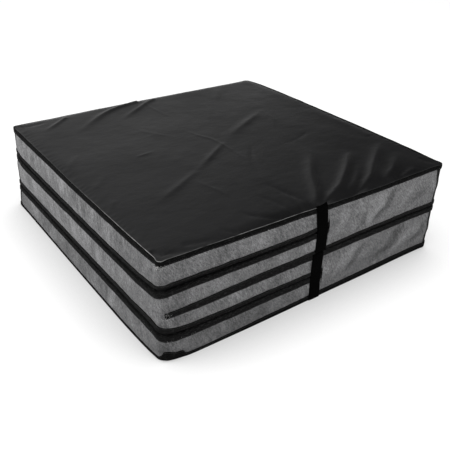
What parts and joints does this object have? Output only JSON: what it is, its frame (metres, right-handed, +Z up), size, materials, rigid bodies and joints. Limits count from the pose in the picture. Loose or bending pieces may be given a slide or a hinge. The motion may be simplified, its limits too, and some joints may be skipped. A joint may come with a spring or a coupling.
{
  "type": "crash mat",
  "caption": "Folding crash mat folded twice into a square block: foam panels in coated covers with mesh gussets, bound seams, and zips at the back.",
  "frame": {"origin": "centre of the folded block's footprint, on the floor under its bottom panel", "axes": "+Z up; the front, with the vertical webbing bands, faces -Y; the double-height side fold faces -X; the zips face +Y"},
  "size_m": [0.75, 0.75, 0.23],
  "materials": {
    "coated_sheet": "satin black PVC-coated cloth with a fine grain",
    "gusset_mesh": "dark grey open polyester mesh",
    "binding_tape": "black woven edge tape, stitched",
    "webbing": "black ribbed webbing",
    "firm_foam": "dense closed-cell foam",
    "soft_foam": "open-cell polyurethane foam",
    "zip_tape": "black zip tape with a nylon coil",
    "zip_metal": "dark plated zinc"
  },
  "bodies": {
    "panel_4": {"panel_4_firm_foam": "firm_foam", "panel_4_soft_foam": "soft_foam", "panel_4_upper_sheet": "coated_sheet", "panel_4_lower_sheet": "coated_sheet", "panel_4_front_fold_gusset": "gusset_mesh", "panel_4_gusset": "gusset_mesh", "panel_4_upper_binding": "binding_tape", "panel_4_lower_binding": "binding_tape", "panel_4_band": "webbing", "panel_4_zip": "zip_tape"},
    "panel_3": {"panel_3_firm_foam": "firm_foam", "panel_3_soft_foam": "soft_foam", "panel_3_upper_sheet": "coated_sheet", "panel_3_lower_sheet": "coated_sheet", "panel_3_front_fold_gusset": "gusset_mesh", "panel_3_front_gusset": "gusset_mesh", "panel_3_side_fold_gusset": "gusset_mesh", "panel_3_rear_gusset": "gusset_mesh", "panel_3_upper_binding": "binding_tape", "panel_3_lower_binding": "binding_tape", "panel_3_band": "webbing", "panel_3_zip": "zip_tape"},
    "panel_2": {"panel_2_firm_foam": "firm_foam", "panel_2_soft_foam": "soft_foam", "panel_2_upper_sheet": "coated_sheet", "panel_2_lower_sheet": "coated_sheet", "panel_2_front_fold_gusset": "gusset_mesh", "panel_2_front_gusset": "gusset_mesh", "panel_2_side_fold_gusset": "gusset_mesh", "panel_2_rear_gusset": "gusset_mesh", "panel_2_upper_binding": "binding_tape", "panel_2_lower_binding": "binding_tape", "panel_2_band": "webbing", "panel_2_zip": "zip_tape"},
    "panel_1": {"panel_1_firm_foam": "firm_foam", "panel_1_soft_foam": "soft_foam", "panel_1_upper_sheet": "coated_sheet", "panel_1_lower_sheet": "coated_sheet", "panel_1_front_fold_gusset": "gusset_mesh", "panel_1_gusset": "gusset_mesh", "panel_1_upper_binding": "binding_tape", "panel_1_lower_binding": "binding_tape", "panel_1_band": "webbing", "panel_1_zip": "zip_tape"},
    "slider_4": {"panel_4_slider": "zip_metal"},
    "pull_4": {"panel_4_pull": "zip_metal"},
    "slider_3": {"panel_3_slider": "zip_metal"},
    "pull_3": {"panel_3_pull": "zip_metal"},
    "slider_2": {"panel_2_slider": "zip_metal"},
    "pull_2": {"panel_2_pull": "zip_metal"},
    "slider_1": {"panel_1_slider": "zip_metal"},
    "pull_1": {"panel_1_pull": "zip_metal"}
  },
  "joints": [
    {"name": "lower_front_fold", "type": "hinge", "parent": "panel_4", "child": "panel_3", "pos_m": [0, -0.3753, 0.05742], "axis": [1, 0, 0], "range_deg": [0, 180]},
    {"name": "side_fold", "type": "hinge", "parent": "panel_3", "child": "panel_2", "pos_m": [-0.3753, 0, 0.115], "axis": [0, -1, 0], "range_deg": [0, 180]},
    {"name": "upper_front_fold", "type": "hinge", "parent": "panel_2", "child": "panel_1", "pos_m": [0, -0.3753, 0.17258], "axis": [1, 0, 0], "range_deg": [0, 180]},
    {"name": "zip_4_slide", "type": "slide", "parent": "panel_4", "child": "slider_4", "axis": [-1, 0, 0], "range_m": [0, 0.576]},
    {"name": "pull_4_swing", "type": "hinge", "parent": "slider_4", "child": "pull_4", "pos_m": [0.288, 0.3731, 0.02864], "axis": [0, 0, -1], "range_deg": [0, 180]},
    {"name": "zip_3_slide", "type": "slide", "parent": "panel_3", "child": "slider_3", "axis": [-1, 0, 0], "range_m": [0, 0.576]},
    {"name": "pull_3_swing", "type": "hinge", "parent": "slider_3", "child": "pull_3", "pos_m": [0.288, 0.3731, 0.08621], "axis": [0, 0, -1], "range_deg": [0, 180]},
    {"name": "zip_2_slide", "type": "slide", "parent": "panel_2", "child": "slider_2", "axis": [-1, 0, 0], "range_m": [0, 0.576]},
    {"name": "pull_2_swing", "type": "hinge", "parent": "slider_2", "child": "pull_2", "pos_m": [0.288, 0.3731, 0.14379], "axis": [0, 0, -1], "range_deg": [0, 180]},
    {"name": "zip_1_slide", "type": "slide", "parent": "panel_1", "child": "slider_1", "axis": [-1, 0, 0], "range_m": [0, 0.576]},
    {"name": "pull_1_swing", "type": "hinge", "parent": "slider_1", "child": "pull_1", "pos_m": [0.288, 0.3731, 0.19977], "axis": [0, 0, -1], "range_deg": [0, 180]}
  ]
}
